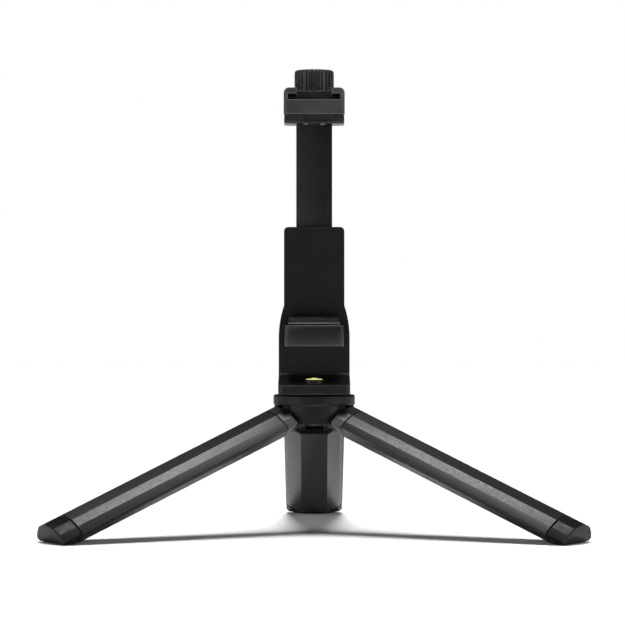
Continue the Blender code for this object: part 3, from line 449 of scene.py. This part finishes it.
def thread_rings(built, radius, depth, pitch, starts, low, high, centre=(0, 0)):
    """Rings of a right-hand thread from high down to low, running out at both ends."""
    count = max(2, round((high - low) / pitch * THREAD_STEPS))
    rings = []
    for step in range(count + 1):
        height = high + (low - high) * step / count
        fade = min(1.0, (high - height) / pitch, (height - low) / pitch)

        def radius_at(angle, height=height, fade=fade):
            turn = (height / pitch - starts * angle / (2 * math.pi)) % 1.0
            groove = min(1.0, max(0.0, FLANK_SLOPE * abs(turn - 0.5) - CREST_FLAT))
            return radius - depth * (1 - fade * (1 - groove))

        rings.append(ring_at(built, height, radius_at, SCREW_SIDES, centre))
    return rings


def turn_to(built, direction, at):
    """Turns a piece built about +Z so that +Z becomes direction, and moves its origin to at."""
    turn = Vector((0, 0, 1)).rotation_difference(Vector(direction)).to_matrix().to_4x4()
    bmesh.ops.transform(built, matrix=Matrix.Translation(at) @ turn, verts=built.verts)


def cut_away(piece, *cutters):
    """Takes the cutters off a piece for good, and removes them."""
    for cutter in cutters:
        modifier = piece.modifiers.new("cut", "BOOLEAN")
        modifier.operation = "DIFFERENCE"
        modifier.solver = "EXACT"
        modifier.object = cutter
    bpy.context.view_layer.update()
    evaluated = piece.evaluated_get(bpy.context.evaluated_depsgraph_get())
    mesh = bpy.data.meshes.new_from_object(evaluated)
    piece.modifiers.clear()
    piece.data = mesh
    shade_smoothly(mesh, SMOOTH_TURNED)
    for cutter in cutters:
        bpy.data.objects.remove(cutter)


def cutter_box(size, taper, at, direction):
    """A box that narrows downwards, for one slot of a cross recess."""
    built = bmesh.new()
    bmesh.ops.create_cube(built, size=1)
    bmesh.ops.scale(built, vec=size, verts=built.verts)
    for vert in built.verts:
        if vert.co.z < 0:
            vert.co.x *= taper
            vert.co.y *= taper
    turn_to(built, direction, at)
    return add_mesh("cutter", built)


# --- screws -------------------------------------------------------------------------------------
SCREW_HEADS = {  # node: (body, head's height)
    "cover_screw_1": ("clamp", 0.4 * MM),
    "cover_screw_2": ("clamp", 0.4 * MM),
    "cover_screw_3": ("clamp", 0.4 * MM),
    "cover_screw_4": ("clamp", 0.4 * MM),
    "nut_screw": ("clamp", 0.9 * MM),
    "lower_jaw_screw_1": ("clamp", 1.0 * MM),
    "lower_jaw_screw_2": ("clamp", 1.0 * MM),
    "post_screw_1": ("sliding_jaw", 1.2 * MM),
    "post_screw_2": ("sliding_jaw", 1.2 * MM),
}
PAN_HEAD = (  # radius and drop, as shares of the head's radius
    (0.30, 0.0),
    (0.72, 0.02),
    (0.92, 0.10),
    (1.0, 0.26),
)
UNDER_HEAD_SLOPE = 0.02 * MM
SCREW_PITCH = 0.55 * MM
SCREW_NECK = 0.3 * MM  # from the head to the thread
SHANK_SHARE = 0.52  # a screw's shank against its head
SCREW_DEPTH_SHARE = 0.22  # its thread's depth against its shank
SCREW_TIP_SHARE = 0.35  # its tip against its shank
# the cross recess, as shares of the head's radius
RECESS_LENGTH = 1.25
RECESS_WIDTH = 0.26
RECESS_DEPTH = 0.6
RECESS_OF_HEIGHT = 0.75  # its depth at most, as a share of the head's height
RECESS_TAPER = 0.55  # its floor against its opening


def make_cross_screw(node, body, head_height):
    """A pan-head screw with a cross recess and a threaded shank, in its CAD node's place."""
    low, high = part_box(node)
    size = high - low
    middle = (low + high) / 2
    head = size.x / 2
    shank = head * SHANK_SHARE
    upright = size.z > size.y
    direction = (0, 0, 1) if upright else (0, 1, 0)
    length = size.z if upright else size.y
    top = Vector((middle.x, middle.y, high.z)) if upright else Vector((middle.x, high.y, middle.z))
    profile = [(share * head, -drop * head) for share, drop in PAN_HEAD]
    profile += [(head, -head_height), (shank, -head_height - UNDER_HEAD_SLOPE)]
    built = bmesh.new()
    rings = round_rings(built, profile, SCREW_SIDES)
    rings += thread_rings(
        built,
        radius=shank,
        depth=SCREW_DEPTH_SHARE * shank,
        pitch=SCREW_PITCH,
        starts=1,
        low=shank - length,
        high=-head_height - SCREW_NECK,
    )
    rings.append(ring_at(built, -length, SCREW_TIP_SHARE * shank, SCREW_SIDES))
    skin_rings(built, rings)
    turn_to(built, direction, top)
    screw = add_piece(f"{node}_detail", built, DARK_STEEL, body, (node,))
    deep = min(RECESS_OF_HEIGHT * head_height, RECESS_DEPTH * head)
    long_side = RECESS_LENGTH * head
    short_side = RECESS_WIDTH * head
    slots = [
        cutter_box((*sides, 2 * deep), RECESS_TAPER, top, direction)
        for sides in ((long_side, short_side), (short_side, long_side))
    ]
    cut_away(screw, *slots)


# --- lead screw, stud, clip ---------------------------------------------------------------------
LEAD_CHAMFER = 0.3 * MM
LEAD_PITCH = 1.0 * MM
LEAD_STARTS = 2  # so the lead is 2 mm
LEAD_DEPTH = 0.42 * MM
LEAD_POINT = 0.5 * MM  # the tapered stretch at its lower end
LEAD_POINT_INSET = 0.2 * MM
GROOVE_DEPTH = 0.5 * MM
GROOVE_PLAY = 0.2 * MM  # above and below the clip
BELOW_CLIP = 1.2 * MM  # from the clip to the end of the plain collar
THREAD_BELOW_CLIP = 1.5 * MM

STUD_PITCH = INCH / 20
STUD_DEPTH = 0.6 * MM
STUD_END_INSET = 0.9 * MM
STUD_FOOT = 0.4 * MM  # the tapered stretch at its foot
STUD_TOP = 0.5 * MM  # and at its top

CLIP_WALL = 0.55 * MM
CLIP_LUG = 0.8 * MM
CLIP_OPENING = math.radians(50)
CLIP_STEPS = 54
CLIP_LUGS = 3
LUG_LEVEL = 0.75  # a lug is where a wave with CLIP_LUGS crests round the clip is above this


def make_lead_screw():
    """The lead screw: a two-start thread with a 2 mm lead, and a clip groove in its plain upper end."""
    low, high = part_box("lead_screw")
    clip_low, clip_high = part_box("retaining_clip")
    centre, radius = about_z(low, high)
    groove = radius - GROOVE_DEPTH
    groove_top = clip_high.z + GROOVE_PLAY
    groove_foot = clip_low.z - GROOVE_PLAY
    profile = (
        (radius - LEAD_CHAMFER, high.z),
        (radius, high.z - LEAD_CHAMFER),
        (radius, groove_top),
        (groove, groove_top),
        (groove, groove_foot),
        (radius, groove_foot),
        (radius, clip_low.z - BELOW_CLIP),
    )
    built = bmesh.new()
    rings = round_rings(built, profile, SCREW_SIDES, centre)
    rings += thread_rings(
        built,
        radius,
        depth=LEAD_DEPTH,
        pitch=LEAD_PITCH,
        starts=LEAD_STARTS,
        low=low.z + LEAD_POINT,
        high=clip_low.z - THREAD_BELOW_CLIP,
        centre=centre,
    )
    rings.append(ring_at(built, low.z, groove - LEAD_POINT_INSET, SCREW_SIDES, centre))
    skin_rings(built, rings)
    nodes = ("lead_screw",)
    add_piece("lead_screw_thread", built, STEEL, "clamp_screw", nodes, SMOOTH_THREAD)


def make_stud():
    """The 1/4-20 stud."""
    low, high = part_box("mounting_stud")
    centre, radius = about_z(low, high)
    built = bmesh.new()
    rings = [ring_at(built, high.z, radius - STUD_END_INSET, SCREW_SIDES, centre)]
    rings += thread_rings(
        built,
        radius,
        depth=STUD_DEPTH,
        pitch=STUD_PITCH,
        starts=1,
        low=low.z + STUD_FOOT,
        high=high.z - STUD_TOP,
        centre=centre,
    )
    rings.append(ring_at(built, low.z, radius - STUD_END_INSET, SCREW_SIDES, centre))
    skin_rings(built, rings)
    nodes = ("mounting_stud",)
    add_piece("mounting_stud_thread", built, STEEL, "tripod_hub", nodes, SMOOTH_THREAD)


def make_clip():
    """The lead screw's retaining clip: a C with three lugs inside."""
    low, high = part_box("retaining_clip")
    centre, outer = about_z(low, high)
    built = bmesh.new()
    sections = []
    for step in range(CLIP_STEPS + 1):
        angle = CLIP_OPENING / 2 + (2 * math.pi - CLIP_OPENING) * step / CLIP_STEPS
        on_lug = math.cos(CLIP_LUGS * (angle - math.pi / CLIP_LUGS)) > LUG_LEVEL
        inner = outer - (CLIP_LUG if on_lug else CLIP_WALL)
        section = []
        for radius, z in ((outer, high.z), (outer, low.z), (inner, low.z), (inner, high.z)):
            x = centre[0] + radius * math.sin(angle)
            y = centre[1] + radius * math.cos(angle)
            section.append(built.verts.new((x, y, z)))
        sections.append(section)
    skin_rings(built, sections)
    bmesh.ops.recalc_face_normals(built, faces=built.faces)
    nodes = ("retaining_clip",)
    add_piece("retaining_clip_c", built, STEEL, "clamp_screw", nodes, SMOOTH_CRISP)


# --- knob ---------------------------------------------------------------------------------------
KNOB_FLUTES = 24
FLUTE_SIDES = 12  # flat sides to one flute
FLUTE_DEPTH = 0.62 * MM
CROWN_GAIN = 1.7  # above 1 it flattens the ridges' crowns
KNOB_BORE = 2.3 * MM  # radius
KNOB_BORE_DEPTH = 3 * MM


def make_knob():
    """The fluted knob: ridges with flat crowns, a chamfered rim and a shallow dish in the top."""
    low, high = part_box("knob")
    centre, radius = about_z(low, high)
    height = high.z - low.z
    sides = KNOB_FLUTES * FLUTE_SIDES

    def fluted(inset, share):
        def radius_at(angle):
            wave = 0.5 + 0.5 * math.cos(KNOB_FLUTES * angle)
            crown = min(1.0, wave * CROWN_GAIN)
            eased = crown * crown * (3 - 2 * crown)
            return radius - inset - FLUTE_DEPTH * share * (1 - eased)
        return radius_at

    dish = (  # inset from the ridges' crowns, height
        (5.2 * MM, high.z - 0.45 * MM),
        (4.9 * MM, high.z - 0.42 * MM),
        (4.6 * MM, high.z - 0.1 * MM),
    )
    side = (  # inset from the ridges' crowns, share of the flutes' depth, height
        (0.95 * MM, 0.0, high.z),
        (0.62 * MM, 0.25, high.z - 0.06 * MM),
        (0.3 * MM, 0.7, high.z - 0.26 * MM),
        (0.08 * MM, 1.0, high.z - 0.62 * MM),
        (0.0, 1.0, high.z - 0.9 * MM),
        (0.0, 1.0, high.z - 0.5 * height),
        (0.0, 1.0, low.z + 0.8 * MM),
        (0.06 * MM, 1.0, low.z + 0.5 * MM),
        (0.3 * MM, 0.7, low.z + 0.15 * MM),
        (0.62 * MM, 0.2, low.z),
    )
    bore = ((KNOB_BORE, low.z), (KNOB_BORE, low.z + KNOB_BORE_DEPTH))
    built = bmesh.new()
    rings = [ring_at(built, z, radius - inset, sides, centre) for inset, z in dish]
    rings += [ring_at(built, z, fluted(inset, share), sides, centre) for inset, share, z in side]
    rings += round_rings(built, bore, sides, centre)
    skin_rings(built, rings)
    nodes = ("knob",)
    add_piece("knob_fluted", built, KNOB_PLASTIC, "clamp_screw", nodes, SMOOTH_CRISP)


# --- spirit level -------------------------------------------------------------------------------
DOME = (  # share of the radius, share of the drop
    (0.12, 0.0),
    (0.4, 0.03),
    (0.62, 0.10),
    (0.8, 0.22),
    (0.92, 0.38),
    (0.985, 0.62),
    (1.0, 0.8),
)
FLUID_SHARE = 0.94  # the fluid's radius against the vial's
FLUID_BELOW = 0.36 * MM  # the fluid's crown under the vial's top
FLUID_DROP = 0.5 * MM
BUBBLE_RADIUS = 1.15 * MM
BUBBLE_RISE = 0.13 * MM  # above the fluid's crown
BUBBLE_DROP = 0.2 * MM
BUBBLE_FOOT = 0.9 * MM  # radius of its sunk end
BUBBLE_SUNK = 0.25 * MM
BUBBLE_SIDES = 32
MARK_INNER = 1.62 * MM
MARK_OUTER = 1.8 * MM
MARK_INNER_TOP = 0.035 * MM  # under the fluid's crown
MARK_OUTER_TOP = 0.045 * MM
MARK_FOOT = 0.2 * MM


def make_level():
    """The vial: a domed fluid with a bubble and a ring mark in it."""
    low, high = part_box("level_vial")
    centre, vial = about_z(low, high)
    radius = FLUID_SHARE * vial
    crown = high.z - FLUID_BELOW
    outline = [(share * radius, crown - drop * FLUID_DROP) for share, drop in DOME]
    outline.append((radius, low.z))
    fluid = lathe(outline, centre)
    add_piece("level_fluid", fluid, FLUID, "clamp", ("level_vial",))
    bubble_top = crown + BUBBLE_RISE
    outline = [(share * BUBBLE_RADIUS, bubble_top - drop * BUBBLE_DROP) for share, drop in DOME]
    outline.append((BUBBLE_FOOT, crown - BUBBLE_SUNK))
    bubble = lathe(outline, centre, BUBBLE_SIDES)
    add_piece("level_bubble", bubble, BUBBLE, "clamp")
    outline = (
        (MARK_INNER, crown - MARK_INNER_TOP),
        (MARK_OUTER, crown - MARK_OUTER_TOP),
        (MARK_OUTER, crown - MARK_FOOT),
        (MARK_INNER, crown - MARK_FOOT),
    )
    mark = lathe(outline, centre, close=True)
    add_piece("level_ring_mark", mark, PLASTIC, "clamp")


# --- small mouldings on the clamp ---------------------------------------------------------------
CLEARANCE = 0.3 * MM  # between neighbouring CAD pieces
DECK_HEIGHT = 6.8 * MM  # the deck's rear edge above the clamp body's foot
FILLET_RUN = 0.55 * MM  # forward of the column
FILLET_RISE = 0.5 * MM
FILLET_NOSE = 0.02 * MM  # how far its front edge is under the deck
FILLET_TIP = 0.05 * MM  # how far its upper edge stands off the column
FILLET_INSIDE = 0.3 * MM  # its reach into the column
FILLET_UNDER = 0.4 * MM  # its reach into the deck
FILLET_END = 0.25 * MM  # from its end to the clamp body's side
FILLET_EDGE = 0.05 * MM
LIP_PROUD = 0.25 * MM  # in front of the pad
LIP_INSIDE = 0.5 * MM
LIP_FOOT = 0.05 * MM  # above the pad's foot
LIP_TOP = 0.6 * MM
LIP_END = 0.05 * MM  # past the pad's ends
LIP_EDGE = 0.15 * MM
BAR_SEGMENTS = 3


def add_clamp_bar(name, outline, half, edge, material):
    """A bar along X on the clamp, centred on X = 0, from its (y, z) outline, with rounded edges."""
    built = bmesh.new()
    ends = [[built.verts.new((x, y, z)) for y, z in outline] for x in (-half, half)]
    skin_rings(built, ends)
    bmesh.ops.recalc_face_normals(built, faces=built.faces)
    bmesh.ops.bevel(
        built,
        geom=built.edges[:],
        offset=edge,
        segments=BAR_SEGMENTS,
        affect="EDGES",
        clamp_overlap=True,
    )
    add_piece(name, built, material, "clamp", smooth=SMOOTH_BAR)


def make_deck_fillet():
    """The small fillet where the deck meets the column."""
    low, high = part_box("clamp_body")
    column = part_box("lower_jaw")[1].y + CLEARANCE
    deck = low.z + DECK_HEIGHT
    outline = (
        (column + FILLET_INSIDE, deck - FILLET_UNDER),
        (column - FILLET_RUN, deck - FILLET_UNDER),
        (column - FILLET_RUN, deck - FILLET_NOSE),
        (column - FILLET_TIP, deck + FILLET_RISE),
        (column + FILLET_INSIDE, deck + FILLET_RISE),
    )
    half = (high.x - low.x) / 2 - FILLET_END
    add_clamp_bar("deck_fillet", outline, half, FILLET_EDGE, PLASTIC)


def make_pad_lip():
    """The lip along the front of the lower pad's foot."""
    low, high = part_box("lower_pad")
    outline = (
        (low.y + LIP_INSIDE, low.z + LIP_FOOT),
        (low.y - LIP_PROUD, low.z + LIP_FOOT),
        (low.y - LIP_PROUD, low.z + LIP_TOP),
        (low.y + LIP_INSIDE, low.z + LIP_TOP),
    )
    # The lip takes the paler shoe plastic so that it shows as a light line along the pad's foot: painted
    # highlight.
    add_clamp_bar("lower_pad_lip", outline, high.x + LIP_END, LIP_EDGE, SHOE_PLASTIC)


# --- camera, lights, world, floor ---------------------------------------------------------------
CAMERA_DISTANCE = 1.0  # from the tripod's axis
CAMERA_HEIGHT = 76.6 * MM
CAMERA_CLIP = 0.05
FRAME_WIDTH = 225 * MM  # width of the picture where the tripod's axis is
SHIFT_X = -0.0027  # the picture's middle against the camera's axis, as shares of its width
SHIFT_Y = 0.0112
SENSOR_WIDTH = 36.0  # in millimetres, like the lens

SUN_POWER = 3.9
SUN_SPREAD = math.radians(30)
SIDE_LIGHT_POWER = 2.6
SIDE_LIGHT_SIZE = (0.42, 0.7)
SIDE_LIGHT_ACROSS = 0.72
SIDE_LIGHT_FORWARD = 0.42  # of the tripod's axis
SIDE_LIGHT_HEIGHT = 0.32
AIM_HEIGHT = 0.06

# the world's strength in reflections: dimmest on the camera's side, brightest beside and behind
DIMMEST = 0.12
BRIGHTEST = 0.9
FADE_START = -0.75  # Y of the direction where it starts to brighten
FADE_END = 0.0

FLOOR_SIZE = 4


def make_camera():
    data = bpy.data.cameras.new("camera")
    data.sensor_width = SENSOR_WIDTH
    data.lens = SENSOR_WIDTH * CAMERA_DISTANCE / FRAME_WIDTH
    data.shift_x = SHIFT_X
    data.shift_y = SHIFT_Y
    data.clip_start = CAMERA_CLIP
    camera = add_object("camera", data)
    camera.location = (0, AXIS_Y - CAMERA_DISTANCE, CAMERA_HEIGHT)
    camera.rotation_euler = (math.radians(90), 0, 0)
    bpy.context.scene.camera = camera


def add_side_light(name, side):
    """An area light in front of the object and to one side, aimed at its middle."""
    data = bpy.data.lights.new(name, "AREA")
    data.shape = "RECTANGLE"
    data.size, data.size_y = SIDE_LIGHT_SIZE
    data.energy = SIDE_LIGHT_POWER
    light = add_object(name, data)
    light.location = (side * SIDE_LIGHT_ACROSS, AXIS_Y - SIDE_LIGHT_FORWARD, SIDE_LIGHT_HEIGHT)
    aim = Vector((0, AXIS_Y, AIM_HEIGHT)) - light.location
    light.rotation_euler = aim.to_track_quat("-Z", "Y").to_euler()


def make_lights():
    data = bpy.data.lights.new("overhead", "SUN")
    data.energy = SUN_POWER
    data.angle = SUN_SPREAD
    add_object("overhead", data)
    add_side_light("left", -1)
    add_side_light("right", 1)


def make_world():
    """A white studio to the camera, and a dim one to everything that reflects it."""
    world = bpy.data.worlds.new("studio")
    bpy.context.scene.world = world
    world.use_nodes = True
    nodes = world.node_tree.nodes
    links = world.node_tree.links
    seen = nodes.new("ShaderNodeBackground")
    seen.inputs["Color"].default_value = (1, 1, 1, 1)
    dim = nodes["Background"]
    direction = nodes.new("ShaderNodeTexCoord")
    parts = nodes.new("ShaderNodeSeparateXYZ")
    fade = nodes.new("ShaderNodeMapRange")
    fade.inputs["From Min"].default_value = FADE_START
    fade.inputs["From Max"].default_value = FADE_END
    fade.inputs["To Min"].default_value = DIMMEST
    fade.inputs["To Max"].default_value = BRIGHTEST
    links.new(direction.outputs["Generated"], parts.inputs["Vector"])
    links.new(parts.outputs["Y"], fade.inputs["Value"])
    links.new(fade.outputs["Result"], dim.inputs["Strength"])
    rays = nodes.new("ShaderNodeLightPath")
    mix = nodes.new("ShaderNodeMixShader")
    links.new(rays.outputs["Is Camera Ray"], mix.inputs["Fac"])
    links.new(dim.outputs["Background"], mix.inputs[1])
    links.new(seen.outputs["Background"], mix.inputs[2])
    links.new(mix.outputs["Shader"], nodes["World Output"].inputs["Surface"])


def make_floor():
    built = bmesh.new()
    bmesh.ops.create_grid(built, x_segments=1, y_segments=1, size=FLOOR_SIZE)
    floor = add_mesh("floor", built)
    tree = Tree("pale_floor", grey(0.9), roughness=0.6)
    tree.colour(tree.mix(tree.noise(scale=3, detail=2), grey(0.91), grey(0.93)))
    floor.data.materials.append(tree.material)


def main():
    bpy.context.scene.view_settings.view_transform = "Standard"
    make_camera()
    make_world()
    make_lights()
    make_floor()
    finish_cad_nodes()
    for node, (body, head_height) in SCREW_HEADS.items():
        make_cross_screw(node, body, head_height)
    make_lead_screw()
    make_stud()
    make_clip()
    make_knob()
    make_level()
    make_deck_fillet()
    make_pad_lip()


main()
